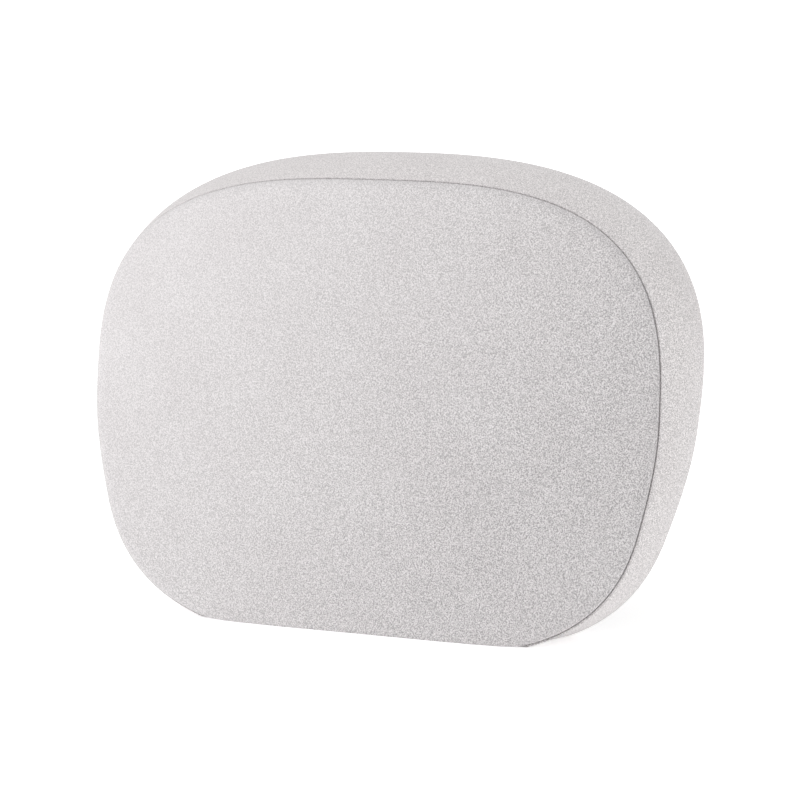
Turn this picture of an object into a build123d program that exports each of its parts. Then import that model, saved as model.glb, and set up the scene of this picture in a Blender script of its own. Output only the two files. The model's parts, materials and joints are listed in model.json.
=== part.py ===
"""Height and tilt adjustable headrest attachment for the back of an office chair.

Origin: centre of the chair bolt pattern, on the mounting face. +Z is up, the sitter's
head rests on the -Y side of the pad and the chair back is on the +Y side.
"""

import os
from math import atan2, cos, degrees, radians, sin

from build123d import *

# ---- Driving dimensions: pad, in the pad's own plane ----
PAD_LEAN = 11.25
HINGE_Y = -30.0
HINGE_Z = 55.0
HINGE_DEPTH = 32.0
SEAM_HALF_WIDTH = 144.5
SEAM_TOP = 108.0
SEAM_BOTTOM = 112.0
REAR_HALF_WIDTH = 152.0
REAR_TOP = 126.0
REAR_BOTTOM = 107.0
SEAM_DEPTH = 36.5
SEAM_SLOPE = 4.0
REST_LEVEL = -38.0
COVER_THICKNESS = 2.0
BOARD_THICKNESS = 8.0
BOARD_GAP = 5.0
HEM_THICKNESS = 1.5
REAR_EDGE_ROLL = 7.0
HEM_WIDTH = 24.0
STAPLE_COUNT = 18

# Half outline of the pad as shares of its half width and of its top and bottom height.
OUTLINE = [
    (0, 1),
    (0.42, 0.973),
    (0.665, 0.89),
    (0.875, 0.677),
    (0.984, 0.354),
    (1, 0),
    (0.97, -0.336),
    (0.887, -0.662),
    (0.692, -0.894),
    (0.4, -0.985),
    (0, -1),
]

# Crown of the front panel: share of the seam outline and height in front of the seam.
CROWN = [(1, 0), (0.985, 4), (0.93, 5.8), (0.8, 8.8), (0.6, 12.6), (0.35, 16.2), (0.12, 18.2)]

# ---- Driving dimensions: rear shell and pad bracket ----
SHELL_INSET = 12.0
SHELL_DEPTH = 17.0
SHELL_DRAFT = 3.0
SHELL_WALL = 2.5
SHELL_EDGE_RADIUS = 6.0
SHELL_WINDOW = (52.0, 30.0)
SHELL_SCREW_GRID = (150.0, 90.0)
BRACKET_PLATE = (100.0, 64.0, 3.2)
BRACKET_CORNER = 8.0
CASTING_EDGE = 0.8
BRACKET_SCREW_GRID = (78.0, 44.0)
BARREL_RADIUS = 11.0
BARREL_HALF_LENGTH = 22.0

# ---- Driving dimensions: hinge ----
AXLE_RADIUS = 4.0
RUNNING_FIT = 0.05
BUSH_RADIUS = 6.0
BUSH_FLANGE = 1.2
DISC_GAP = 0.1
DISC_THICKNESS = 1.6
EAR_INNER = 25.0
EAR_OUTER = 32.0
EAR_RADIUS = 12.0
YOKE_BOTTOM = 41.0
YOKE_TOP = 72.0
YOKE_FRONT = -17.5
YOKE_REAR = -3.0
YOKE_EDGE = 2.0

# ---- Driving dimensions: stem ----
STEM_WIDTH = 36.0
STEM_FRONT = -13.5
STEM_REAR = -8.5
STEM_BOTTOM = -34.0
STEM_TOP = 66.0
NOTCH_COUNT = 7
NOTCH_PITCH = 7.0
NOTCH_DEPTH = 3.0
NOTCH_HEIGHT = 4.6
SHOE_HEIGHT = 9.0
STEM_CORNER = 2.0
STEM_SCREW_X = 9.0
STEM_SCREW_Z = 56.0

# ---- Driving dimensions: receiver and latch ----
FLANGE_WIDTH = 84.0
FLANGE_HEIGHT = 76.0
FLANGE_THICKNESS = 5.0
BOLT_SPACING = (68.0, 40.0)
BOLT_HOLE_RADIUS = 3.3
CHANNEL_HALF_WIDTH = 21.0
WALL_THICKNESS = 5.0
CHANNEL_FRONT = -19.0
COVER_FRONT = -22.0
COVER_CORNER = 2.0
COVER_EDGE = 1.2
COVER_SCREW_X = 23.5
COVER_SCREW_Z = (-30.0, 0.0, 22.0)
GLIDE_BOTTOM = 17.5
GLIDE_TOP = 26.0
LATCH_Z = 32.0
LATCH_THICKNESS = 4.0
LATCH_TRAVEL = 3.2
BUTTON_RIM = 29.5
BUTTON_FACE = 37.0

LEAN = radians(PAD_LEAN)
pad_plane = Plane(
    origin=(
        0,
        HINGE_Y - HINGE_DEPTH * cos(LEAN),
        HINGE_Z + HINGE_DEPTH * sin(LEAN),
    ),
    x_dir=(1, 0, 0),
    z_dir=(0, -cos(LEAN), sin(LEAN)),
)
pad_axis = Axis(pad_plane.origin, pad_plane.z_dir)
seam_plane = pad_plane.offset(SEAM_DEPTH).rotated((SEAM_SLOPE, 0, 0))
hinge_plane = Plane(origin=(0, HINGE_Y, HINGE_Z), x_dir=(0, 0, 1), z_dir=(1, 0, 0))
BOARD_REAR = -BOARD_THICKNESS
HEM_REAR = BOARD_REAR - HEM_THICKNESS
PLATE_REAR = BOARD_REAR - BRACKET_PLATE[2]
STEM_MIDDLE = (STEM_FRONT + STEM_REAR) / 2
STEM_THICKNESS = STEM_REAR - STEM_FRONT
FLANGE_FRONT = -FLANGE_THICKNESS
FLANGE_TOP = FLANGE_HEIGHT / 2
WALL_OUTER = CHANNEL_HALF_WIDTH + WALL_THICKNESS

os.makedirs("parts", exist_ok=True)


def save(builder, name):
    """Label one finished piece and write it as its own file."""
    builder.part.label = name
    export_step(builder.part, f"parts/{name}.step")


# ---- Shared outlines and forms of the pad ----


def pad_section(plane, half_width, top, bottom):
    """One closed cross-section of the pad on the given plane."""
    with BuildSketch(plane) as section:
        with BuildLine():
            points = [(x * half_width, y * (top if y > 0 else bottom)) for x, y in OUTLINE]
            Spline(*points, tangents=[(1, 0), (-1, 0)])
            mirror(about=Plane.YZ)
        make_face()
    return section.sketch


def seam_section(inset, share=1.0, height=0.0):
    """Section parallel to the front seam, shrunk to a share of the seam outline."""
    return pad_section(
        seam_plane.offset(height),
        (SEAM_HALF_WIDTH - inset) * share,
        (SEAM_TOP - inset) * share,
        (SEAM_BOTTOM - inset) * share,
    )


def rear_section(inset, depth):
    """Section parallel to the board, inset from the widest outline of the pad."""
    return pad_section(
        pad_plane.offset(depth),
        REAR_HALF_WIDTH - inset,
        REAR_TOP - inset,
        REAR_BOTTOM - inset,
    )


def loft_form(sections):
    """Closed body through straight-sided spans between the sections."""
    with BuildPart() as form:
        loft(sections=sections, ruled=True)
    return form.part


def crown_form(inset, drop):
    """Body between the seam plane and the crowned front, lowered by a drop."""
    sections = [seam_section(inset)]
    for share, height in CROWN[1:]:
        sections.append(seam_section(inset, share, height - drop))
    return loft_form(sections)


def above(level):
    """Keep only what lies above a level, which flattens the underside of the pad."""
    split(bisect_by=Plane.XY.offset(level), keep=Keep.TOP)


INNER_LEVEL = REST_LEVEL + COVER_THICKNESS

# ---- Pad: foam, cover, board ----

with BuildPart() as foam_core:
    add(loft_form([rear_section(COVER_THICKNESS, 0), seam_section(COVER_THICKNESS)]))
    add(crown_form(COVER_THICKNESS, COVER_THICKNESS))
    above(INNER_LEVEL)
save(foam_core, "foam_core")

with BuildPart() as front_cover:
    add(crown_form(0, 0))
    add(crown_form(COVER_THICKNESS, COVER_THICKNESS), mode=Mode.SUBTRACT)
    above(REST_LEVEL)
save(front_cover, "front_cover")

with BuildPart() as board_form:
    add(loft_form([rear_section(REAR_EDGE_ROLL, BOARD_REAR), rear_section(COVER_THICKNESS, 0)]))
    above(INNER_LEVEL)

with BuildPart() as band_filling:
    add(board_form.part)
    add(loft_form([rear_section(COVER_THICKNESS, 0), seam_section(COVER_THICKNESS)]))
    above(INNER_LEVEL)

with BuildPart() as side_band:
    add(loft_form([rear_section(REAR_EDGE_ROLL, HEM_REAR), rear_section(0, 0), seam_section(0)]))
    above(REST_LEVEL)
    add(band_filling.part, mode=Mode.SUBTRACT)
    with BuildSketch(pad_plane.offset(HEM_REAR)):
        add(pad_section(
            Plane.XY,
            REAR_HALF_WIDTH - REAR_EDGE_ROLL - HEM_WIDTH,
            REAR_TOP - REAR_EDGE_ROLL - HEM_WIDTH,
            REAR_BOTTOM - REAR_EDGE_ROLL - HEM_WIDTH,
        ))
    extrude(amount=HEM_THICKNESS, mode=Mode.SUBTRACT)
save(side_band, "side_band")

HEX_SIDES = 6
SOCKET_SHARE = 0.7
TNUT_FLANGE_RADIUS = 8.0
TNUT_FLANGE = 1.2
TNUT_RADIUS = 4.0
SCREW_RADIUS = 2.5

with BuildPart() as pad_board:
    add(loft_form([
        rear_section(REAR_EDGE_ROLL + BOARD_GAP, BOARD_REAR),
        rear_section(COVER_THICKNESS + BOARD_GAP, 0),
    ]))
    above(INNER_LEVEL + BOARD_GAP)
    with Locations(pad_plane.offset(0)):
        with GridLocations(*BRACKET_SCREW_GRID, 2, 2):
            CounterBoreHole(TNUT_RADIUS, TNUT_FLANGE_RADIUS, TNUT_FLANGE, depth=BOARD_THICKNESS)
save(pad_board, "pad_board")

with BuildPart() as bracket_tnuts:
    with BuildSketch(pad_plane.offset(-TNUT_FLANGE)):
        with GridLocations(*BRACKET_SCREW_GRID, 2, 2):
            Circle(TNUT_FLANGE_RADIUS)
    extrude(amount=TNUT_FLANGE)
    with BuildSketch(pad_plane.offset(BOARD_REAR)):
        with GridLocations(*BRACKET_SCREW_GRID, 2, 2):
            Circle(TNUT_RADIUS)
    extrude(amount=BOARD_THICKNESS - TNUT_FLANGE)
    with BuildSketch(pad_plane.offset(BOARD_REAR)):
        with GridLocations(*BRACKET_SCREW_GRID, 2, 2):
            Circle(SCREW_RADIUS)
    extrude(amount=BOARD_THICKNESS, mode=Mode.SUBTRACT)
save(bracket_tnuts, "bracket_tnuts")

STAPLE_INSET = 20.0
STAPLE_CROWN = 10.0
STAPLE_WIRE = 0.8
STAPLE_LEG = 5.0


def staple_spots():
    """Places along the hem, with each staple's own direction, in the pad plane."""
    ring = pad_section(
        Plane.XY,
        REAR_HALF_WIDTH - STAPLE_INSET,
        REAR_TOP - STAPLE_INSET,
        REAR_BOTTOM - STAPLE_INSET,
    ).face().outer_wire()
    spots = []
    for step in range(STAPLE_COUNT):
        share = (step + 0.5) / STAPLE_COUNT
        spot = ring @ share
        run = ring % share
        spots.append(Location((spot.X, spot.Y, 0), (0, 0, degrees(atan2(run.Y, run.X)))))
    return spots


with BuildPart() as cover_staples:
    with BuildSketch(pad_plane.offset(HEM_REAR - STAPLE_WIRE)):
        with Locations(*staple_spots()):
            Rectangle(STAPLE_CROWN, STAPLE_WIRE)
    extrude(amount=STAPLE_WIRE)
    with BuildSketch(pad_plane.offset(HEM_REAR)):
        with Locations(*staple_spots()):
            with GridLocations(STAPLE_CROWN - STAPLE_WIRE, 0, 2, 1):
                Rectangle(STAPLE_WIRE, STAPLE_WIRE)
    extrude(amount=STAPLE_LEG)
save(cover_staples, "cover_staples")

# ---- Pad: rear shell and its screws ----

SHELL_BOSS_RADIUS = 5.0
SHELL_SCREW_RADIUS = 1.75
SHELL_HEAD_RADIUS = 3.4
SHELL_HEAD = 2.0
SHELL_SCREW_TIP = -3.0
HEAD_CLEARANCE = 0.1

with BuildPart() as rear_shell:
    add(loft_form([
        rear_section(SHELL_INSET + SHELL_DRAFT, -SHELL_DEPTH),
        rear_section(SHELL_INSET, HEM_REAR),
    ]))
    rear_rim = faces().sort_by(pad_axis)[0].edges()
    fillet(rear_rim, SHELL_EDGE_RADIUS)
    inner = SHELL_INSET + SHELL_WALL
    add(
        loft_form([
            rear_section(inner + SHELL_DRAFT, SHELL_WALL - SHELL_DEPTH),
            rear_section(inner, HEM_REAR),
        ]),
        mode=Mode.SUBTRACT,
    )
    with BuildSketch(pad_plane.offset(-SHELL_DEPTH + SHELL_HEAD)):
        with GridLocations(*SHELL_SCREW_GRID, 2, 2):
            Circle(SHELL_BOSS_RADIUS)
    extrude(amount=SHELL_DEPTH - SHELL_HEAD + BOARD_REAR)
    with BuildSketch(pad_plane.offset(-SHELL_DEPTH)):
        with GridLocations(*SHELL_SCREW_GRID, 2, 2):
            Circle(SHELL_SCREW_RADIUS)
    extrude(amount=SHELL_DEPTH, mode=Mode.SUBTRACT)
    with BuildSketch(pad_plane.offset(-SHELL_DEPTH)):
        with GridLocations(*SHELL_SCREW_GRID, 2, 2):
            Circle(SHELL_HEAD_RADIUS + HEAD_CLEARANCE)
    extrude(amount=SHELL_HEAD + HEAD_CLEARANCE, mode=Mode.SUBTRACT)
    with BuildSketch(pad_plane.offset(-SHELL_DEPTH)):
        RectangleRounded(*SHELL_WINDOW, SHELL_EDGE_RADIUS)
    extrude(amount=SHELL_DEPTH, mode=Mode.SUBTRACT)
save(rear_shell, "rear_shell")

with BuildPart() as shell_screws:
    with BuildSketch(pad_plane.offset(-SHELL_DEPTH)):
        with GridLocations(*SHELL_SCREW_GRID, 2, 2):
            Circle(SHELL_HEAD_RADIUS)
    extrude(amount=SHELL_HEAD)
    chamfer(edges().group_by(pad_axis)[0], SHELL_HEAD / 4)
    with BuildSketch(pad_plane.offset(-SHELL_DEPTH)):
        with GridLocations(*SHELL_SCREW_GRID, 2, 2):
            RegularPolygon(SHELL_SCREW_RADIUS, HEX_SIDES)
    extrude(amount=SHELL_HEAD / 2, mode=Mode.SUBTRACT)
    with BuildSketch(pad_plane.offset(-SHELL_DEPTH + SHELL_HEAD)):
        with GridLocations(*SHELL_SCREW_GRID, 2, 2):
            Circle(SHELL_SCREW_RADIUS)
    extrude(amount=SHELL_DEPTH - SHELL_HEAD + SHELL_SCREW_TIP)
save(shell_screws, "shell_screws")

# ---- Pad: bracket that carries the board on the hinge ----

BRACKET_HEAD_RADIUS = 4.5
BRACKET_HEAD = 2.4
SCREW_TIP = -1.0
RIB_WIDTH = 4.0
RIB_REACH = 34.0
RIB_HEIGHT = 3.0

with BuildPart() as pad_bracket:
    with BuildSketch(pad_plane.offset(PLATE_REAR)):
        RectangleRounded(BRACKET_PLATE[0], BRACKET_PLATE[1], BRACKET_CORNER)
        with GridLocations(*BRACKET_SCREW_GRID, 2, 2):
            Circle(SCREW_RADIUS, mode=Mode.SUBTRACT)
    extrude(amount=BRACKET_PLATE[2])
    fillet(faces().sort_by(pad_axis)[0].outer_wire().edges(), CASTING_EDGE)
    with BuildSketch(pad_plane.offset(-HINGE_DEPTH)):
        Rectangle(2 * BARREL_HALF_LENGTH, 2 * BARREL_RADIUS)
    extrude(amount=HINGE_DEPTH + PLATE_REAR)
    with BuildSketch(pad_plane.offset(PLATE_REAR - RIB_HEIGHT)):
        with GridLocations(BARREL_HALF_LENGTH, 0, 2, 1):
            Rectangle(RIB_WIDTH, 2 * RIB_REACH - BARREL_RADIUS)
    extrude(amount=RIB_HEIGHT)
    with BuildSketch(hinge_plane.offset(-BARREL_HALF_LENGTH)):
        Circle(BARREL_RADIUS)
    extrude(amount=2 * BARREL_HALF_LENGTH)
    with BuildSketch(hinge_plane.offset(-BARREL_HALF_LENGTH)):
        Circle(BUSH_RADIUS)
    extrude(amount=2 * BARREL_HALF_LENGTH, mode=Mode.SUBTRACT)
save(pad_bracket, "pad_bracket")

with BuildPart() as bracket_screws:
    with BuildSketch(pad_plane.offset(PLATE_REAR - BRACKET_HEAD)):
        with GridLocations(*BRACKET_SCREW_GRID, 2, 2):
            Circle(BRACKET_HEAD_RADIUS)
    extrude(amount=BRACKET_HEAD)
    fillet(edges().group_by(pad_axis)[0], BRACKET_HEAD / 2)
    with BuildSketch(pad_plane.offset(PLATE_REAR - BRACKET_HEAD)):
        with GridLocations(*BRACKET_SCREW_GRID, 2, 2):
            RegularPolygon(SCREW_RADIUS * SOCKET_SHARE, HEX_SIDES)
    extrude(amount=BRACKET_HEAD / 2, mode=Mode.SUBTRACT)
    with BuildSketch(pad_plane.offset(PLATE_REAR)):
        with GridLocations(*BRACKET_SCREW_GRID, 2, 2):
            Circle(SCREW_RADIUS)
    extrude(amount=SCREW_TIP - PLATE_REAR)
save(bracket_screws, "bracket_screws")

BUSH_LENGTH = 14.0
BUSH_FLANGE_RADIUS = 9.5
AXLE_BORE = AXLE_RADIUS + RUNNING_FIT

with BuildPart() as hinge_bushes:
    with BuildSketch(hinge_plane.offset(BARREL_HALF_LENGTH - BUSH_LENGTH)):
        Circle(BUSH_RADIUS)
        Circle(AXLE_BORE, mode=Mode.SUBTRACT)
    extrude(amount=BUSH_LENGTH)
    with BuildSketch(hinge_plane.offset(BARREL_HALF_LENGTH)):
        Circle(BUSH_FLANGE_RADIUS)
        Circle(AXLE_BORE, mode=Mode.SUBTRACT)
    extrude(amount=BUSH_FLANGE)
    mirror(about=Plane.YZ)
save(hinge_bushes, "hinge_bushes")

# ---- Hinge: axle, discs, springs, nut, caps ----

AXLE_HEAD_RADIUS = 6.5
AXLE_HEAD = 3.5
WASHER_THICKNESS = 1.2
SPRING_RADIUS = 8.0
SPRING_THICKNESS = 0.9
SPRING_RISE = 0.6
NUT_RADIUS = 7.5
NUT_HEIGHT = 4.5
CAP_WALL = 1.8
LEFT_CAP_DEPTH = 7.0
RIGHT_CAP_DEPTH = 13.0
CAP_EDGE = 2.7
AXLE_CHAMFER = 0.6
AXLE_SOCKET_DEPTH = 2.1
AXLE_OVERHANG = 1.0

disc_inner = BARREL_HALF_LENGTH + BUSH_FLANGE + DISC_GAP
washer_start = EAR_OUTER
spring_start = washer_start + WASHER_THICKNESS
spring_pitch = SPRING_THICKNESS + SPRING_RISE
nut_start = spring_start + 2 * spring_pitch
axle_end = nut_start + NUT_HEIGHT + AXLE_OVERHANG

with BuildPart() as hinge_axle:
    with BuildSketch(hinge_plane.offset(-EAR_OUTER)):
        Circle(AXLE_RADIUS)
    extrude(amount=EAR_OUTER + axle_end)
    with BuildSketch(hinge_plane.offset(-EAR_OUTER - AXLE_HEAD)):
        Circle(AXLE_HEAD_RADIUS)
    extrude(amount=AXLE_HEAD)
    chamfer(edges().group_by(Axis.X)[0], AXLE_CHAMFER)
    with BuildSketch(hinge_plane.offset(-EAR_OUTER - AXLE_HEAD)):
        RegularPolygon(AXLE_RADIUS * SOCKET_SHARE, HEX_SIDES)
    extrude(amount=AXLE_SOCKET_DEPTH, mode=Mode.SUBTRACT)
    chamfer(edges().group_by(Axis.X)[-1], AXLE_CHAMFER)
save(hinge_axle, "hinge_axle")

with BuildPart() as friction_discs:
    with BuildSketch(hinge_plane.offset(disc_inner)):
        Circle(BUSH_FLANGE_RADIUS)
        Circle(AXLE_BORE, mode=Mode.SUBTRACT)
    extrude(amount=DISC_THICKNESS)
    mirror(about=Plane.YZ)
save(friction_discs, "friction_discs")

with BuildPart() as thrust_washer:
    with BuildSketch(hinge_plane.offset(washer_start)):
        Circle(SPRING_RADIUS)
        Circle(AXLE_BORE, mode=Mode.SUBTRACT)
    extrude(amount=WASHER_THICKNESS)
save(thrust_washer, "thrust_washer")

with BuildPart() as disc_springs:
    for lean_side in (0, 1):
        base = spring_start + lean_side * spring_pitch
        inner_rise = SPRING_RISE * (1 - lean_side)
        outer_rise = SPRING_RISE * lean_side
        with BuildSketch(Plane.XY.offset(HINGE_Z)):
            with BuildLine():
                Polyline(
                    (base + inner_rise, HINGE_Y + AXLE_BORE),
                    (base + inner_rise + SPRING_THICKNESS, HINGE_Y + AXLE_BORE),
                    (base + outer_rise + SPRING_THICKNESS, HINGE_Y + SPRING_RADIUS),
                    (base + outer_rise, HINGE_Y + SPRING_RADIUS),
                    close=True,
                )
            make_face()
        revolve(axis=Axis((0, HINGE_Y, HINGE_Z), (1, 0, 0)))
save(disc_springs, "disc_springs")

with BuildPart() as hinge_nut:
    with BuildSketch(hinge_plane.offset(nut_start)):
        RegularPolygon(NUT_RADIUS, HEX_SIDES)
        Circle(AXLE_RADIUS, mode=Mode.SUBTRACT)
    extrude(amount=NUT_HEIGHT)
save(hinge_nut, "hinge_nut")


def end_cap(depth):
    """Cup that covers one end of the hinge, open towards the yoke, on the +X side."""
    with BuildPart() as cap:
        with BuildSketch(hinge_plane.offset(EAR_OUTER)):
            Circle(EAR_RADIUS)
        extrude(amount=depth)
        fillet(edges().group_by(Axis.X)[-1], CAP_EDGE)
        with BuildSketch(hinge_plane.offset(EAR_OUTER)):
            Circle(EAR_RADIUS - CAP_WALL)
        extrude(amount=depth - CAP_WALL, mode=Mode.SUBTRACT)
    return cap.part


with BuildPart() as right_end_cap:
    add(end_cap(RIGHT_CAP_DEPTH))
save(right_end_cap, "right_end_cap")

with BuildPart() as left_end_cap:
    add(mirror(end_cap(LEFT_CAP_DEPTH), about=Plane.YZ, mode=Mode.PRIVATE))
save(left_end_cap, "left_end_cap")

# ---- Stem: notched blade, shoe, yoke ----

with BuildPart() as height_stem:
    with BuildSketch(Plane.XZ.offset(-STEM_REAR)):
        with Locations((0, (STEM_BOTTOM + STEM_TOP) / 2)):
            RectangleRounded(STEM_WIDTH, STEM_TOP - STEM_BOTTOM, STEM_CORNER)
        for step in range(NOTCH_COUNT):
            with Locations((-STEM_WIDTH / 2, LATCH_Z - step * NOTCH_PITCH)):
                Rectangle(2 * NOTCH_DEPTH, NOTCH_HEIGHT, mode=Mode.SUBTRACT)
        with Locations((-STEM_SCREW_X, STEM_SCREW_Z), (STEM_SCREW_X, STEM_SCREW_Z)):
            Circle(SCREW_RADIUS, mode=Mode.SUBTRACT)
    extrude(amount=STEM_THICKNESS)
save(height_stem, "height_stem")

SLIDE_FIT = 0.05
channel_middle = (CHANNEL_FRONT + FLANGE_FRONT) / 2
channel_depth = FLANGE_FRONT - CHANNEL_FRONT

with BuildPart() as stem_shoe:
    with BuildSketch(Plane.XY.offset(STEM_BOTTOM)):
        with Locations((0, channel_middle)):
            Rectangle(2 * (CHANNEL_HALF_WIDTH - SLIDE_FIT), channel_depth - 2 * SLIDE_FIT)
        with Locations((0, STEM_MIDDLE)):
            Rectangle(STEM_WIDTH, STEM_THICKNESS, mode=Mode.SUBTRACT)
    extrude(amount=SHOE_HEIGHT)
save(stem_shoe, "stem_shoe")

with BuildPart() as hinge_yoke:
    with BuildSketch(Plane.YZ.offset(-EAR_OUTER)):
        with BuildLine():
            Polyline(
                (YOKE_FRONT, YOKE_TOP),
                (YOKE_REAR, YOKE_TOP),
                (YOKE_REAR, YOKE_BOTTOM),
                (YOKE_FRONT, YOKE_BOTTOM),
                close=True,
            )
        make_face()
        with Locations((HINGE_Y, HINGE_Z)):
            Circle(EAR_RADIUS)
        make_hull()
    extrude(amount=2 * EAR_OUTER)
    fillet(edges().filter_by(Axis.X).group_by(Axis.Y)[-1], YOKE_EDGE)
    with BuildSketch(Plane.YZ.offset(-EAR_INNER)):
        with Locations((HINGE_Y - EAR_RADIUS + (YOKE_FRONT - HINGE_Y) / 2, HINGE_Z)):
            Rectangle(YOKE_FRONT - HINGE_Y + 2 * EAR_RADIUS, 4 * EAR_RADIUS)
    extrude(amount=2 * EAR_INNER, mode=Mode.SUBTRACT)
    with BuildSketch(Plane.XY.offset(YOKE_BOTTOM)):
        with Locations((0, STEM_MIDDLE)):
            Rectangle(STEM_WIDTH, STEM_THICKNESS)
    extrude(amount=STEM_TOP - YOKE_BOTTOM, mode=Mode.SUBTRACT)
    with BuildSketch(hinge_plane.offset(-EAR_OUTER)):
        Circle(AXLE_BORE)
    extrude(amount=2 * EAR_OUTER, mode=Mode.SUBTRACT)
    with Locations(Plane(origin=(0, YOKE_REAR, 0), x_dir=(1, 0, 0), z_dir=(0, 1, 0))):
        with Locations((-STEM_SCREW_X, -STEM_SCREW_Z), (STEM_SCREW_X, -STEM_SCREW_Z)):
            CounterSinkHole(SCREW_RADIUS, 2 * SCREW_RADIUS)
save(hinge_yoke, "hinge_yoke")

with BuildPart() as stem_screws:
    with BuildSketch(Plane.XZ.offset(-YOKE_REAR)):
        with Locations((-STEM_SCREW_X, STEM_SCREW_Z), (STEM_SCREW_X, STEM_SCREW_Z)):
            Circle(SCREW_RADIUS)
    extrude(amount=YOKE_REAR - YOKE_FRONT)
    for screw_x in (-STEM_SCREW_X, STEM_SCREW_X):
        with Locations(Location((screw_x, YOKE_REAR - SCREW_RADIUS / 2, STEM_SCREW_Z), (-90, 0, 0))):
            Cone(SCREW_RADIUS, 2 * SCREW_RADIUS, SCREW_RADIUS)
    with BuildSketch(Plane.XZ.offset(-YOKE_REAR)):
        with Locations((-STEM_SCREW_X, STEM_SCREW_Z), (STEM_SCREW_X, STEM_SCREW_Z)):
            RegularPolygon(SCREW_RADIUS * SOCKET_SHARE, HEX_SIDES)
    extrude(amount=SCREW_RADIUS, mode=Mode.SUBTRACT)
save(stem_screws, "stem_screws")

# ---- Receiver: base, cover, glide ----

FLOOR_TOP = -35.0
CORNER_RADIUS = 8.0
LATCH_CLEARANCE = 0.2
latch_slot = LATCH_THICKNESS + 2 * LATCH_CLEARANCE
LATCH_REACH = 20.5
LATCH_RIGHT = 24.4
RECESS_OUTER = 24.8
LATCH_FRONT = -17.5
LATCH_REAR = -6.5
TANG_FRONT = -14.2
TANG_REAR = -7.8
latch_middle = (LATCH_FRONT + LATCH_REAR) / 2
tang_middle = (TANG_FRONT + TANG_REAR) / 2
COVER_SCREW_RADIUS = 1.5
COVER_SCREW_DEPTH = 10.0
COVER_HEAD_RADIUS = 2.6
COVER_HEAD = 1.6

cover_screw_spots = [(side * COVER_SCREW_X, z) for side in (-1, 1) for z in COVER_SCREW_Z]

with BuildPart() as receiver_base:
    with BuildSketch(Plane.XZ):
        RectangleRounded(FLANGE_WIDTH, FLANGE_HEIGHT, CORNER_RADIUS)
        with GridLocations(*BOLT_SPACING, 2, 2):
            Circle(BOLT_HOLE_RADIUS, mode=Mode.SUBTRACT)
    extrude(amount=FLANGE_THICKNESS)
    fillet(faces().sort_by(Axis.Y)[0].outer_wire().edges(), CASTING_EDGE)
    with BuildSketch(Plane.XZ.offset(FLANGE_THICKNESS)):
        Rectangle(2 * WALL_OUTER, FLANGE_HEIGHT)
        with Locations((0, (FLOOR_TOP + FLANGE_TOP) / 2)):
            Rectangle(2 * CHANNEL_HALF_WIDTH, FLANGE_TOP - FLOOR_TOP, mode=Mode.SUBTRACT)
    extrude(amount=channel_depth)
    with BuildSketch(Plane.XY.offset(LATCH_Z - latch_slot / 2)):
        with Locations(((CHANNEL_HALF_WIDTH + WALL_OUTER) / 2, tang_middle)):
            Rectangle(WALL_THICKNESS, TANG_REAR - TANG_FRONT + 2 * LATCH_CLEARANCE)
        with Locations((0, latch_middle)):
            Rectangle(2 * RECESS_OUTER, LATCH_REAR - LATCH_FRONT + 2 * LATCH_CLEARANCE)
    extrude(amount=latch_slot, mode=Mode.SUBTRACT)
    with BuildSketch(Plane.XZ.offset(-CHANNEL_FRONT)):
        with Locations(*cover_screw_spots):
            Circle(COVER_SCREW_RADIUS)
    extrude(amount=-COVER_SCREW_DEPTH, mode=Mode.SUBTRACT)
save(receiver_base, "receiver_base")

LIP_GAP = 1.0
LIP_BOTTOM = LATCH_Z + LATCH_THICKNESS / 2 + LIP_GAP
LIP_FIT = 0.3

with BuildPart() as receiver_cover:
    with BuildSketch(Plane.XZ.offset(-CHANNEL_FRONT)):
        RectangleRounded(2 * WALL_OUTER, FLANGE_HEIGHT, COVER_CORNER)
    extrude(amount=CHANNEL_FRONT - COVER_FRONT)
    fillet(edges().group_by(Axis.Y)[0], COVER_EDGE)
    with BuildSketch(Plane.XY.offset(LIP_BOTTOM)):
        with Locations((0, channel_middle)):
            Rectangle(2 * (CHANNEL_HALF_WIDTH - SLIDE_FIT), channel_depth)
        with Locations((0, STEM_MIDDLE)):
            Rectangle(STEM_WIDTH + 2 * LIP_FIT, STEM_THICKNESS + 2 * LIP_FIT, mode=Mode.SUBTRACT)
    extrude(amount=FLANGE_TOP - LIP_BOTTOM)
    with BuildSketch(Plane.XZ.offset(-COVER_FRONT)):
        with Locations(*cover_screw_spots):
            Circle(COVER_SCREW_RADIUS)
    extrude(amount=COVER_FRONT - CHANNEL_FRONT, mode=Mode.SUBTRACT)
    with BuildSketch(Plane.XZ.offset(-COVER_FRONT)):
        with Locations(*cover_screw_spots):
            Circle(COVER_HEAD_RADIUS + HEAD_CLEARANCE)
    extrude(amount=-COVER_HEAD, mode=Mode.SUBTRACT)
save(receiver_cover, "receiver_cover")

with BuildPart() as cover_screws:
    with BuildSketch(Plane.XZ.offset(-COVER_FRONT)):
        with Locations(*cover_screw_spots):
            Circle(COVER_HEAD_RADIUS)
    extrude(amount=-COVER_HEAD)
    with BuildSketch(Plane.XZ.offset(-COVER_FRONT)):
        with Locations(*cover_screw_spots):
            RegularPolygon(COVER_SCREW_RADIUS, HEX_SIDES)
    extrude(amount=-COVER_HEAD / 2, mode=Mode.SUBTRACT)
    with BuildSketch(Plane.XZ.offset(-COVER_FRONT - COVER_HEAD)):
        with Locations(*cover_screw_spots):
            Circle(COVER_SCREW_RADIUS)
    extrude(amount=-COVER_SCREW_DEPTH + COVER_HEAD)
save(cover_screws, "cover_screws")

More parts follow.
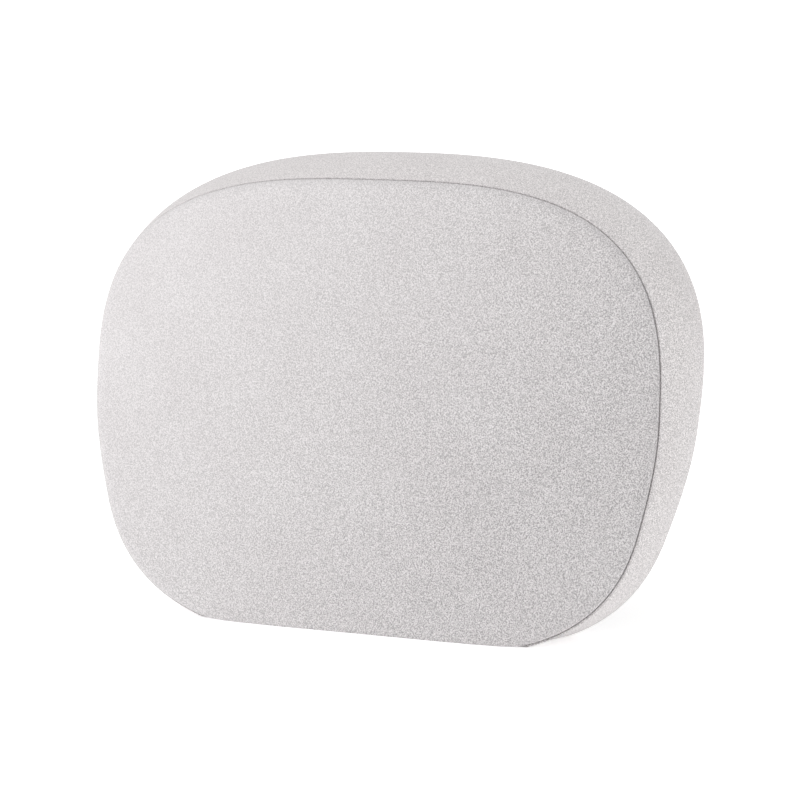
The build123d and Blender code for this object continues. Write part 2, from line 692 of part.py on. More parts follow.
with BuildPart() as upper_glide:
    with BuildSketch(Plane.XY.offset(GLIDE_BOTTOM)):
        with Locations((0, channel_middle)):
            Rectangle(2 * CHANNEL_HALF_WIDTH, channel_depth)
        with Locations((0, STEM_MIDDLE)):
            Rectangle(
                STEM_WIDTH + 2 * SLIDE_FIT,
                STEM_THICKNESS + 2 * SLIDE_FIT,
                mode=Mode.SUBTRACT,
            )
    extrude(amount=GLIDE_TOP - GLIDE_BOTTOM)
save(upper_glide, "upper_glide")

# ---- Latch: plate, button, spring ----

TOOTH_TIP = -STEM_WIDTH / 2 + NOTCH_DEPTH - LATCH_CLEARANCE
WINDOW_RIGHT = STEM_WIDTH / 2 + LATCH_TRAVEL + LATCH_CLEARANCE
WINDOW_FIT = 0.3
BUTTON_WALL = 1.8
BUTTON_SIDE = 0.8
BUTTON_SIZE = (11.2, 16.0)
BUTTON_CORNER = 3.0
BUTTON_EDGE = 1.5
TANG_END = BUTTON_FACE - BUTTON_WALL
WIRE_RADIUS = 0.35
COIL_RADIUS = 4.3
COIL_TURNS = 3
coil_start = WALL_OUTER + 2 * WIRE_RADIUS
coil_length = TANG_END - 2 * WIRE_RADIUS - coil_start
button_plane = Plane(origin=(BUTTON_FACE, tang_middle, LATCH_Z), x_dir=(0, 1, 0), z_dir=(1, 0, 0))

with BuildPart() as release_latch:
    with BuildSketch(Plane.XY.offset(LATCH_Z - LATCH_THICKNESS / 2)):
        with Locations(((LATCH_RIGHT - LATCH_REACH) / 2, latch_middle)):
            Rectangle(LATCH_RIGHT + LATCH_REACH, LATCH_REAR - LATCH_FRONT)
        with Locations(((LATCH_RIGHT + TANG_END) / 2, tang_middle)):
            Rectangle(TANG_END - LATCH_RIGHT, TANG_REAR - TANG_FRONT)
        with Locations(((TOOTH_TIP + WINDOW_RIGHT) / 2, STEM_MIDDLE)):
            Rectangle(
                WINDOW_RIGHT - TOOTH_TIP,
                STEM_THICKNESS + 2 * WINDOW_FIT,
                mode=Mode.SUBTRACT,
            )
    extrude(amount=LATCH_THICKNESS)
save(release_latch, "release_latch")

with BuildPart() as release_button:
    with BuildSketch(button_plane):
        RectangleRounded(*BUTTON_SIZE, BUTTON_CORNER)
    extrude(amount=BUTTON_RIM - BUTTON_FACE)
    fillet(faces().sort_by(Axis.X)[-1].edges(), BUTTON_EDGE)
    with BuildSketch(button_plane.offset(BUTTON_RIM - BUTTON_FACE)):
        RectangleRounded(
            BUTTON_SIZE[0] - 2 * BUTTON_SIDE,
            BUTTON_SIZE[1] - 2 * BUTTON_SIDE,
            BUTTON_CORNER - BUTTON_SIDE,
        )
    extrude(amount=TANG_END - BUTTON_RIM, mode=Mode.SUBTRACT)
save(release_button, "release_button")

with BuildPart() as latch_spring:
    with BuildLine():
        coil = Helix(
            pitch=coil_length / COIL_TURNS,
            height=coil_length,
            radius=COIL_RADIUS,
            center=(coil_start, tang_middle, LATCH_Z),
            direction=(1, 0, 0),
        )
    with BuildSketch(Plane(origin=coil @ 0, z_dir=coil % 0)):
        Circle(WIRE_RADIUS)
    sweep()
save(latch_spring, "latch_spring")
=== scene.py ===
"""Chair headrest attachment: upholstered pad, seam, hardware finishes and studio stage.

The sizes come from the frame where it states them. Lengths are in metres.
"""

import json
from math import cos, pi, radians, sin

import bpy
import numpy as np
from mathutils import Matrix, Vector
from mathutils.kdtree import KDTree


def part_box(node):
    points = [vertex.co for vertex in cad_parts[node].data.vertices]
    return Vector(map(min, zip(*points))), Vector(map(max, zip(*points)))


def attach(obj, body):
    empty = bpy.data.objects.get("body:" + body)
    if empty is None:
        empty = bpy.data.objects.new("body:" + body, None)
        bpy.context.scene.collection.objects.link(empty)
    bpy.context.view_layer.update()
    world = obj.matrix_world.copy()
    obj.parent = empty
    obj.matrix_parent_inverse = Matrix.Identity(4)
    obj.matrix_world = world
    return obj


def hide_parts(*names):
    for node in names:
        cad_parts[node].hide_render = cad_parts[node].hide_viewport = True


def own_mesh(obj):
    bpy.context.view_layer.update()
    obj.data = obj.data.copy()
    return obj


bl_info = {
    "name": "Chair Headrest Attachment",
    "version": (1, 0, 0),
    "blender": (4, 5, 0),
    "location": "View3D > Sidebar > Headrest",
    "description": "Builds the upholstered headrest pad, its seam, its finishes and a studio stage",
    "category": "Object",
}

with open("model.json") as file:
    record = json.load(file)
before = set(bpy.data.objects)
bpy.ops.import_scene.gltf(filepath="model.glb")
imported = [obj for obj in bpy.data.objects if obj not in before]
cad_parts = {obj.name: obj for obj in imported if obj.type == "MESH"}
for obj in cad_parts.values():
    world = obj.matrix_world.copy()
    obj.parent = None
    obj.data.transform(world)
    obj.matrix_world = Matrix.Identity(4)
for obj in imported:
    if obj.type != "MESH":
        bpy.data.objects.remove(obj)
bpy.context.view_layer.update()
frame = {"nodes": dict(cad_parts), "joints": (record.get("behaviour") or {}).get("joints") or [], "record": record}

MM = 0.001
HINGE = next(joint for joint in frame["joints"] if joint["name"] == "pad_tilt")["pos_m"]
BAND_LOW, BAND_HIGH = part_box("side_band")
REST_LEVEL = BAND_LOW.z


# ---- Settings ----


def length_setting(name, description, default):
    """Setting in metres."""
    return bpy.props.FloatProperty(
        name=name, description=description, default=default, subtype="DISTANCE", unit="LENGTH",
    )


def angle_setting(name, description, default):
    """Setting in radians."""
    return bpy.props.FloatProperty(
        name=name, description=description, default=default, subtype="ANGLE", unit="ROTATION",
    )


def number_setting(name, description, default):
    """Setting without a unit."""
    return bpy.props.FloatProperty(name=name, description=description, default=default)


def count_setting(name, description, default):
    """Whole number of at least one."""
    return bpy.props.IntProperty(name=name, description=description, default=default, min=1)


def colour_setting(name, description, default):
    """Linear colour."""
    return bpy.props.FloatVectorProperty(
        name=name, description=description, default=default, subtype="COLOR", size=3, min=0, max=1,
    )


class PadShape(bpy.types.PropertyGroup):
    """Outline, depth and crown of the upholstered pad."""

    lean: angle_setting("Lean", "How far the pad leans back at rest", radians(11.25))
    hinge_depth: length_setting(
        "Hinge depth", "Distance from the board's front face to the tilt axle",
        32 * MM,
    )
    seam_half_width: length_setting(
        "Seam half width", "Half width of the front seam",
        BAND_HIGH.x - 9.3 * MM,
    )
    seam_top: length_setting(
        "Seam top", "Height of the front seam above the pad's centre",
        108 * MM,
    )
    seam_bottom: length_setting(
        "Seam bottom", "Depth of the front seam below the pad's centre",
        113.8 * MM,
    )
    top_power: number_setting(
        "Top roundness", "Superellipse power of the upper half of the outline",
        3.0,
    )
    bottom_power: number_setting(
        "Bottom roundness", "Superellipse power of the lower half of the outline",
        3.08,
    )
    narrowing: number_setting(
        "Narrowing", "Share of its width that the pad loses towards the bottom",
        0.0274,
    )
    narrowing_reach: length_setting(
        "Narrowing reach", "Distance below the centre at which the narrowing is full",
        52 * MM,
    )
    seam_depth: length_setting(
        "Seam depth", "Distance from the board to the front seam at the centre",
        34 * MM,
    )
    seam_slope: number_setting(
        "Seam slope", "How much the seam comes forward towards the top",
        0.0857,
    )
    wing: length_setting(
        "Wing", "How far the left and right ends of the pad come forward",
        3.5 * MM,
    )
    flare_side: length_setting(
        "Side flare", "How far the band spreads from seam to board at the sides",
        7.8 * MM,
    )
    flare_rise: length_setting("Top flare", "Extra spread of the band at the top", 10.6 * MM)
    edge_rise: length_setting("Edge rise", "Height of the front panel's rolled edge", 4.4 * MM)
    edge_roll: length_setting(
        "Edge roll", "Width over which the panel's edge turns to the front",
        1.8 * MM,
    )
    crown_rise: length_setting(
        "Crown rise", "Height of the panel's crown over its rolled edge",
        13.6 * MM,
    )
    crown_power: number_setting("Crown power", "How flat the middle of the crown is", 1.62)
    rear_roll: length_setting(
        "Rear roll", "Inset of the cover where it has turned behind the board",
        7 * MM,
    )
    rear_depth: length_setting(
        "Rear depth", "Distance from the board's front face to the back of the hem",
        9.5 * MM,
    )
    hem_width: length_setting("Hem width", "Width of the hem behind the board", 22 * MM)
    cloth_thickness: length_setting("Cloth thickness", "Thickness of the cover cloth", 1.2 * MM)
    seam_pull: length_setting("Seam pull", "How deep the sewn seam is drawn in", 2.6 * MM)
    seam_gap: length_setting("Seam gap", "Width of the valley between panel and band", 0.9 * MM)
    pleat: length_setting(
        "Hem pleat", "Height of the gathers where the hem turns behind the board",
        0.5 * MM,
    )
    around: count_setting("Points around", "Points around the outline of the pad", 360)


class ClothSettings(bpy.types.PropertyGroup):
    """Simulation that lets the cover settle over its foam."""

    voxel: length_setting("Voxel", "Mesh size of the simulated cover", 6 * MM)
    pressure: number_setting("Pressure", "Pressure of the foam under the cover", 4.0)
    frames: count_setting("Frames", "Steps that the cover settles for", 20)
    cap: length_setting("Cap", "Furthest that a point of the cover may move", 3.0 * MM)
    held_reach: length_setting(
        "Held reach", "Width of the strip along the seam that doesn't move",
        5 * MM,
    )
    around: count_setting("Points around", "Points around the simulated cover", 96)
    quality: count_setting("Quality", "Simulation steps per frame", 6)
    weight: number_setting("Weight", "Mass of one point of the cover", 0.3)
    stiffness: number_setting("Stiffness", "Resistance to stretching and pushing together", 20)
    bending: number_setting("Bending", "Resistance to bending", 1.5)
    neighbours: count_setting("Neighbours", "Simulated points that move one detailed point", 8)


class FoamSettings(bpy.types.PropertyGroup):
    """Moulded foam under the cover."""

    around: count_setting("Points around", "Points around the outline of the foam", 120)
    share: number_setting("Share", "Size of the foam as a share of the cover's", 0.965)
    crown_share: number_setting("Crown share", "The same at the top of the crown", 0.93)


class StitchSettings(bpy.types.PropertyGroup):
    """Thread that shows in the seam."""

    pitch: length_setting("Pitch", "Distance from one stitch to the next", 3.6 * MM)
    radius: length_setting("Radius", "Half thickness of the thread", 0.2 * MM)
    length: length_setting("Length", "Length of one stitch across the seam", 1.2 * MM)
    inset: length_setting("Inset", "How deep a stitch lies in the seam", 1.1 * MM)


class SpringSettings(bpy.types.PropertyGroup):
    """Coil spring behind the release button."""

    wire: length_setting("Wire", "Half thickness of the spring wire", 0.35 * MM)
    turns: count_setting("Turns", "Number of coils", 3)
    travel: length_setting("Travel", "How far the button presses the spring in", 3.2 * MM)


class FinishColours(bpy.types.PropertyGroup):
    """Colours of the finishes."""

    cloth: colour_setting("Cloth", "Main colour of the cover cloth", (0.597, 0.577, 0.581))
    band_cloth: colour_setting(
        "Band cloth", "Colour of the side band's cloth",
        (0.62, 0.595, 0.595),
    )
    # The thread's dark colour is partly painted shade: a real thread sits in the seam, and its darkness stands in
    # for the shade at the bottom of the seam's valley.
    thread: colour_setting("Thread", "Colour of the sewing thread", (0.20, 0.19, 0.19))
    foam: colour_setting("Foam", "Colour of the moulded foam", (0.80, 0.74, 0.56))
    board: colour_setting("Board", "Colour of the plywood board", (0.48, 0.33, 0.19))
    shell: colour_setting("Shell", "Colour of the moulded rear shell", (0.36, 0.35, 0.345))
    trim: colour_setting("Trim", "Colour of caps, receiver cover and button", (0.075, 0.075, 0.08))
    bearing: colour_setting(
        "Bearing plastic", "Colour of bushes, shoe and glide",
        (0.78, 0.78, 0.73),
    )
    facing: colour_setting("Friction facing", "Colour of the friction discs", (0.060, 0.045, 0.035))
    alloy: colour_setting("Cast alloy", "Colour of the powder-coated castings", (0.40, 0.405, 0.41))
    steel: colour_setting("Steel", "Colour of the brushed steel parts", (0.50, 0.51, 0.52))
    zinc: colour_setting("Zinc plate", "Colour of the plated fasteners", (0.62, 0.62, 0.60))
    floor: colour_setting("Floor", "Colour of the studio floor", (0.93, 0.93, 0.93))


class StageSettings(bpy.types.PropertyGroup):
    """Camera and light."""

    azimuth: angle_setting(
        "Azimuth", "How far the camera stands round to the pad's right side",
        radians(21.1),
    )
    elevation: angle_setting("Elevation", "How far the camera looks down", radians(9.1))
    distance: length_setting("Distance", "Distance from the camera to the pad", 1.2975)
    aim_rise: length_setting(
        "Aim rise", "Height of the camera's aim above the pad's centre",
        5.6 * MM,
    )
    aim_side: length_setting(
        "Aim side", "How far the camera's aim lies to the right of the pad's centre",
        2.1 * MM,
    )
    lens: number_setting("Lens", "Focal length of the camera, in millimetres", 120.1)
    ambient: number_setting("Ambient", "Strength of the light from the ceiling", 0.62)
    key_strength: number_setting("Key light", "Strength of the main light", 1.42)
    key_softness: angle_setting("Key softness", "Apparent size of the main light", radians(50))
    floor_glow: number_setting(
        "Floor glow", "Light that the floor gives, as a lit white table does",
        0.42,
    )
    side_strength: number_setting(
        "Side light", "Strength of the light on the pad's right side",
        0.8,
    )
    wall_height: number_setting("Wall height", "Sine of the angle up to the walls' top", 0.2)
    ceiling_height: number_setting("Ceiling height", "Sine of the angle up to the ceiling", 0.5)
    floor_size: length_setting("Floor size", "Width of the studio floor", 600.0)


# ---- Form of the pad: x to the right, u up the board, w forward from the board ----


def smooth(t):
    """Ease from 0 to 1, flat at both ends."""
    t = np.clip(t, 0, 1)
    return t * t * (3 - 2 * t)


def pad_axes(pad):
    """Origin, up and forward directions of the board's plane."""
    up = np.array((0, sin(pad.lean), cos(pad.lean)))
    forward = np.array((0, -cos(pad.lean), sin(pad.lean)))
    return np.array(HINGE) + pad.hinge_depth * forward, up, forward


def place(pad, x, u, w):
    """Points of the pad in the row's frame, pressed flat where the pad meets its rest level."""
    origin, up, forward = pad_axes(pad)
    points = origin + np.stack(np.broadcast_arrays(u, u, u), -1) * up
    points = points + np.asarray(w)[..., None] * forward
    points[..., 0] += x
    crease = 0.5 * MM
    above = points[..., 2] - REST_LEVEL
    points[..., 2] = REST_LEVEL + (above + np.sqrt(above ** 2 + crease ** 2)) / 2
    return points


def seam_outline(pad, count):
    """Evenly spaced points of the front seam from the top clockwise, their normals, its length."""
    turn = np.linspace(0, 2 * pi, 40 * count, endpoint=False)
    across, along = np.sin(turn), np.cos(turn)
    upper = along >= 0
    power = np.where(upper, pad.top_power, pad.bottom_power)
    x = pad.seam_half_width * np.sign(across) * np.abs(across) ** (2 / power)
    u = np.where(upper, pad.seam_top, pad.seam_bottom)
    u = u * np.sign(along) * np.abs(along) ** (2 / power)
    x = x * (1 - pad.narrowing * smooth(-u / pad.narrowing_reach))
    steps = np.hypot(np.diff(x, append=x[0]), np.diff(u, append=u[0]))
    run = np.concatenate(([0], np.cumsum(steps)))
    even = np.linspace(0, run[-1], count, endpoint=False)
    x = np.interp(even, run, np.append(x, x[0]))
    u = np.interp(even, run, np.append(u, u[0]))
    tangent_x = np.roll(x, -1) - np.roll(x, 1)
    tangent_u = np.roll(u, -1) - np.roll(u, 1)
    length = np.hypot(tangent_x, tangent_u)
    return x, u, -tangent_u / length, tangent_x / length, run[-1]


def front_depth(pad, x, u):
    """Distance of the seam's surface in front of the board."""
    return pad.seam_depth + pad.seam_slope * u + pad.wing * (x / pad.seam_half_width) ** 2


def panel_span(pad):
    """Mean radius of the front panel."""
    return (pad.seam_half_width + pad.seam_top + pad.seam_bottom) / 3


def band_flare(pad, x, u):
    """How far the band spreads from seam to board at each point of the outline."""
    return pad.flare_side + pad.flare_rise * u / np.hypot(x, u)


def panel_rings(pad, insets, around):
    """Rings of the front panel at the given insets from the seam, outermost first."""
    x, u, _, _, _ = seam_outline(pad, around)
    rings = []
    for inset in insets:
        share = 1 - inset / panel_span(pad)
        ring_x, ring_u = x * share, u * share
        rise = pad.edge_rise * (1 - np.exp(-inset / pad.edge_roll))
        rise = rise + pad.crown_rise * (1 - share ** pad.crown_power)
        rings.append(place(pad, ring_x, ring_u, front_depth(pad, ring_x, ring_u) + rise))
    return rings


def seam_lip(pad, side, around):
    """Rings of the cloth's edge where it is drawn into the seam, deepest first.

    The valley runs in at half a right angle between band and panel. Side is 1 for the
    panel and -1 for the band.
    """
    x, u, out_x, out_u, _ = seam_outline(pad, around)
    depth = front_depth(pad, x, u)
    rings = []
    for deep, wide in ((1, 0.15), (0.7, 0.45), (0.42, 0.66), (0.2, 0.82), (0.05, 0.95)):
        pull = pad.seam_pull * deep * sin(pi / 4)
        shift = side * wide * pad.seam_gap / 2 * sin(pi / 4)
        ring_x = x - out_x * (pull + shift)
        ring_u = u - out_u * (pull + shift)
        rings.append(place(pad, ring_x, ring_u, depth - pull + shift))
    return rings


def band_rings(pad, shares, around):
    """Rings of the side band from the seam, share 0, to the board's front face, share 1."""
    x, u, out_x, out_u, _ = seam_outline(pad, around)
    flare = band_flare(pad, x, u)
    depth = front_depth(pad, x, u)
    rings = []
    for share in shares:
        spread = flare * sin(share * pi / 2)
        rings.append(place(pad, x + out_x * spread, u + out_u * spread, depth * (1 - share)))
    return rings


def hem_rings(pad, around):
    """Rings that turn round the board's edge and run in behind it, with gathers at the corners."""
    x, u, out_x, out_u, length = seam_outline(pad, around)
    flare = band_flare(pad, x, u)
    corner = smooth((np.abs(x * u) / (pad.seam_half_width * pad.seam_top) - 0.25) / 0.35)
    run = np.arange(around) / around * length
    gather = np.sin(run / (7 * MM) * 2 * pi + 1.3 * np.sin(run / (31 * MM))) * corner
    rings = []
    for turn in np.linspace(0, pi / 2, 9)[1:]:
        inset = pad.rear_roll * (1 - cos(turn))
        fold = pad.pleat * gather * sin(turn) ** 2
        spread = flare - inset + fold * cos(turn)
        ring_w = np.full(around, -pad.rear_depth * sin(turn)) - fold * sin(turn) * 0.4
        rings.append(place(pad, x + out_x * spread, u + out_u * spread, ring_w))
    for share in np.linspace(0, 1, 7)[1:]:
        inset = pad.rear_roll + pad.hem_width * share
        ring_w = np.full(around, -pad.rear_depth) - pad.pleat * gather * 0.4 * (1 - share)
        spread = flare - inset
        rings.append(place(pad, x + out_x * spread, u + out_u * spread, ring_w))
    return rings


PANEL_EDGE = [0.5, 0.85, 1.3, 1.9, 2.7, 3.8, 5.2, 7.0, 9.5, 12.5]


def panel_insets(pad):
    """Insets of the panel's rings: fine at the rolled edge, wider over the crown."""
    crown = np.linspace(16 * MM, panel_span(pad) * 0.985, 34)
    return [inset * MM for inset in PANEL_EDGE] + list(crown)


def band_shares():
    """Shares of the band's rings: fine near the seam, even over the rest."""
    return [0.035, 0.06, 0.1] + list(np.linspace(0.15, 1, 18))


def mesh_piece(name, rings, pole=None, back=None):
    """Object with a strip of faces between each two rings.

    A pole closes the last ring and a back point closes the first.
    """
    around = len(rings[0])
    points = np.concatenate(rings)
    faces = []
    for ring in range(len(rings) - 1):
        for step in range(around):
            following = (step + 1) % around
            low, high = ring * around, (ring + 1) * around
            faces.append((low + step, low + following, high + following, high + step))
    if pole is not None:
        last = (len(rings) - 1) * around
        points = np.concatenate((points, [pole]))
        for step in range(around):
            faces.append((last + step, last + (step + 1) % around, len(points) - 1))
    if back is not None:
        points = np.concatenate((points, [back]))
        for step in range(around):
            faces.append((step, len(points) - 1, (step + 1) % around))
    mesh = bpy.data.meshes.new(name)
    mesh.from_pydata(points.tolist(), [], faces)
    mesh.update()
    piece = bpy.data.objects.new(name, mesh)
    bpy.context.scene.collection.objects.link(piece)
    return piece


def select_only(piece):
    """Make one object the selected and active one."""
    bpy.ops.object.select_all(action="DESELECT")
    piece.select_set(True)
    bpy.context.view_layer.objects.active = piece


def face_outwards(piece, from_point):
    """Turn an open shell so that its faces look away from a point inside it."""
    mesh = piece.data
    centre = Vector(from_point)
    inward = sum(1 for face in mesh.polygons if face.normal.dot(face.center - centre) < 0)
    if inward > len(mesh.polygons) / 2:
        mesh.flip_normals()


def thicken(piece, thickness):
    """Give a cloth its thickness, inwards, and smooth its shading."""
    select_only(piece)
    modifier = piece.modifiers.new("Cloth thickness", "SOLIDIFY")
    modifier.thickness = thickness
    modifier.offset = -1
    bpy.ops.object.modifier_apply(modifier=modifier.name)
    bpy.ops.object.shade_smooth()


def read_points(piece):
    """Vertex places of a mesh object."""
    points = np.empty(len(piece.data.vertices) * 3)
    piece.data.vertices.foreach_get("co", points)
    return points.reshape(-1, 3)


def inside_point(pad):
    """A point well inside the pad, between the board and the crown."""
    return place(pad, np.zeros(1), np.zeros(1), np.full(1, pad.seam_depth / 2))[0]


# ---- Settling of the cover over the foam ----


def settle(pad, cloth):
    """Simulate a coarse copy of the cover; return its places before and its moves."""
    coarse = cloth.around
    rings = hem_rings(pad, coarse)[::-1] + band_rings(pad, np.linspace(1, 0.1, 8), coarse)
    rings += panel_rings(pad, np.array([0.5, 4, 10, 20, 32, 46, 62, 80, 100]) * MM, coarse)
    origin, _, forward = pad_axes(pad)
    back = origin - forward * pad.rear_depth
    body = mesh_piece("settling_cover", rings, panel_pole(pad), back)
    face_outwards(body, inside_point(pad))
    select_only(body)
    body.data.remesh_voxel_size = cloth.voxel
    bpy.ops.object.voxel_remesh()
    before = read_points(body)
    x, u, _, _, _ = seam_outline(pad, coarse * 3)
    seam = KDTree(len(x))
    for index, point in enumerate(place(pad, x, u, front_depth(pad, x, u))):
        seam.insert(point, index)
    seam.balance()
    held = body.vertex_groups.new(name="held")
    for index, point in enumerate(before):
        behind = np.dot(point - origin, forward) < 4 * MM
        on_floor = point[2] < REST_LEVEL + 2 * MM
        if behind or on_floor or seam.find(point)[2] < cloth.held_reach:
            held.add([index], 1.0, "REPLACE")
    modifier = body.modifiers.new("Cover", "CLOTH")
    settings = modifier.settings
    settings.quality = cloth.quality
    settings.mass = cloth.weight
    settings.tension_stiffness = cloth.stiffness
    settings.compression_stiffness = cloth.stiffness
    settings.bending_stiffness = cloth.bending
    settings.use_pressure = True
    settings.uniform_pressure_force = cloth.pressure
    settings.vertex_group_mass = held.name
    settings.effector_weights.gravity = 0
    modifier.point_cache.frame_end = cloth.frames
    scene = bpy.context.scene
    for step in range(1, cloth.frames + 1):
        scene.frame_set(step)
    bpy.ops.object.modifier_apply(modifier=modifier.name)
    scene.frame_set(1)
    moves = read_points(body) - before
    bpy.data.objects.remove(body)
    reach = np.linalg.norm(moves, axis=1, keepdims=True)
    return before, moves * cloth.cap / (cloth.cap + reach)


def carry_over(rings, before, moves, neighbours):
    """Move detailed rings as the nearest points of the coarse simulated cover moved."""
    tree = KDTree(len(before))
    for index, point in enumerate(before):
        tree.insert(point, index)
    tree.balance()
    settled = []
    for ring in rings:
        moved = ring.copy()
        for index, point in enumerate(ring):
            near = tree.find_n(point, neighbours)
            weights = np.array([1 / (distance + 2 * MM) ** 2 for _, _, distance in near])
            shifts = moves[[found for _, found, _ in near]]
            moved[index] += weights @ shifts / weights.sum()
        moved[:, 2] = np.maximum(moved[:, 2], REST_LEVEL)
        settled.append(moved)
    return settled


def panel_pole(pad):
    """Top of the front panel's crown."""
    rise = pad.edge_rise + pad.crown_rise
    return place(pad, np.zeros(1), np.zeros(1), np.full(1, pad.seam_depth + rise))[0]


# ---- Materials ----


def empty_material(name, *frame_labels):
    """New material, its nodes and links, and one labelled frame for each label."""
    material = bpy.data.materials.new(name)
    material.use_nodes = True
    nodes = material.node_tree.nodes
    nodes.clear()
    frames = []
    for label in frame_labels:
        frames.append(nodes.new("NodeFrame"))
        frames[-1].label = label
    return material, nodes, material.node_tree.links, *frames


def set_ramp(ramp, low, high):
    """Place and colour the two ends of a colour ramp node."""
    for element, (position, colour) in zip(ramp.color_ramp.elements, (low, high)):
        element.position = position
        element.color = (*colour, 1)


def scaled(colour, factor):
    """Colour times a factor, no brighter than white."""
    return [min(channel * factor, 1) for channel in colour]


def lay_out(*columns):
    """Place the nodes of a material in columns, left to right."""
    for column, members in enumerate(columns):
        for row, node in enumerate(members):
            node.location = (column * 280, -row * 300)


def cloth_material(name, colour, roughness, shade_low, fleck_high, fleck_low):
    """Short-nap upholstery cloth: flecked nap, faint mottling, fibre relief and sheen.

    The colour is painted darker towards the lower right, as painted shade of the key
    light from the upper left, and its flecks show more there: shade_low is its tone
    there, and the two flecks are the strengths at the upper left and at the lower right.
    """
    material, nodes, links, colour_frame, relief_frame = empty_material(
        name, "Nap colour", "Nap relief",
    )

    place_node = nodes.new("ShaderNodeTexCoord")
    place_node.label = "Place on the cloth"
    turned = nodes.new("ShaderNodeMapping")
    turned.label = "Turned off the pad's faces, so that no face lies along the noise"
    turned.inputs["Rotation"].default_value = (radians(-24), 0, radians(45))
    speckle = nodes.new("ShaderNodeTexNoise")
    speckle.label = "Nap speckle, about half a millimetre"
    speckle.inputs["Scale"].default_value = 1700
    speckle.inputs["Detail"].default_value = 3
    speckle.inputs["Roughness"].default_value = 0.62
    speckle.parent = colour_frame
    mottle = nodes.new("ShaderNodeTexNoise")
    mottle.label = "Shade patches where the nap lies over"
    mottle.inputs["Scale"].default_value = 26
    mottle.inputs["Detail"].default_value = 3
    mottle.inputs["Roughness"].default_value = 0.5
    mottle.parent = colour_frame
    speckle_ramp = nodes.new("ShaderNodeValToRGB")
    speckle_ramp.label = "Dark fibre roots to light tips"
    set_ramp(speckle_ramp, (0.4, scaled(colour, 0.62)), (0.6, scaled(colour, 1.36)))
    speckle_ramp.parent = colour_frame
    mottle_ramp = nodes.new("ShaderNodeValToRGB")
    mottle_ramp.label = "Strength of the shade patches"
    set_ramp(mottle_ramp, (0.3, (0.965, 0.96, 0.96)), (0.7, (1, 1, 1)))
    mottle_ramp.parent = colour_frame
    # Painted shade: how far a point lies towards the lower right; this sets the painted darkening and the strength
    # of the flecks.
    brushed = nodes.new("ShaderNodeVectorMath")
    brushed.label = "How far towards the lower right, where the cloth is painted darker"
    brushed.operation = "DOT_PRODUCT"
    brushed.inputs[1].default_value = (0.8, 0, -0.6)
    brushed.parent = colour_frame
    fleck = nodes.new("ShaderNodeMapRange")
    fleck.label = "Strength of the flecks"
    fleck.inputs["From Min"].default_value = -0.17
    fleck.inputs["From Max"].default_value = 0.04
    fleck.inputs["To Min"].default_value = fleck_high
    fleck.inputs["To Max"].default_value = fleck_low
    fleck.parent = colour_frame
    # Painted shade: the cloth's colour is scaled from 1 at the upper left down to shade_low at the lower right.
    tone = nodes.new("ShaderNodeMapRange")
    tone.label = "Painted shade towards the lower right"
    tone.inputs["From Min"].default_value = -0.17
    tone.inputs["From Max"].default_value = 0.05
    tone.inputs["To Min"].default_value = 1
    tone.inputs["To Max"].default_value = shade_low
    tone.parent = colour_frame
    flecked = nodes.new("ShaderNodeMix")
    flecked.label = "Flecks in the plain colour"
    flecked.data_type = "RGBA"
    flecked.inputs[6].default_value = (*colour, 1)
    flecked.parent = colour_frame
    # Painted shade applied: the flecked colour times the painted darkening towards the lower right.
    painted_shade_applied = nodes.new("ShaderNodeVectorMath")
    painted_shade_applied.label = "Tone over flecks"
    painted_shade_applied.operation = "SCALE"
    painted_shade_applied.parent = colour_frame
    shade = nodes.new("ShaderNodeMix")
    shade.label = "Patches over speckle"
    shade.data_type = "RGBA"
    shade.blend_type = "MULTIPLY"
    shade.inputs[0].default_value = 1
    shade.parent = colour_frame

    fibres = nodes.new("ShaderNodeTexNoise")
    fibres.label = "Fibre ends"
    fibres.inputs["Scale"].default_value = 2300
    fibres.inputs["Detail"].default_value = 2
    fibres.inputs["Roughness"].default_value = 0.7
    fibres.parent = relief_frame
    tufts = nodes.new("ShaderNodeTexVoronoi")
    tufts.label = "Tufts of the nap"
    tufts.feature = "SMOOTH_F1"
    tufts.inputs["Scale"].default_value = 620
    tufts.inputs["Smoothness"].default_value = 0.6
    tufts.parent = relief_frame
    relief = nodes.new("ShaderNodeMix")
    relief.label = "Fibres on tufts"
    relief.data_type = "FLOAT"
    relief.inputs[0].default_value = 0.45
    relief.parent = relief_frame
    bump = nodes.new("ShaderNodeBump")
    bump.label = "Height of the nap"
    bump.inputs["Strength"].default_value = 0.35
    bump.inputs["Distance"].default_value = 0.0005
    bump.parent = relief_frame

    shader = nodes.new("ShaderNodeBsdfPrincipled")
    shader.label = "Cloth"
    shader.inputs["Roughness"].default_value = roughness
    shader.inputs["Specular IOR Level"].default_value = 0.15
    shader.inputs["Sheen Weight"].default_value = 0.22
    shader.inputs["Sheen Roughness"].default_value = 0.5
    output = nodes.new("ShaderNodeOutputMaterial")
    output.label = "Surface"

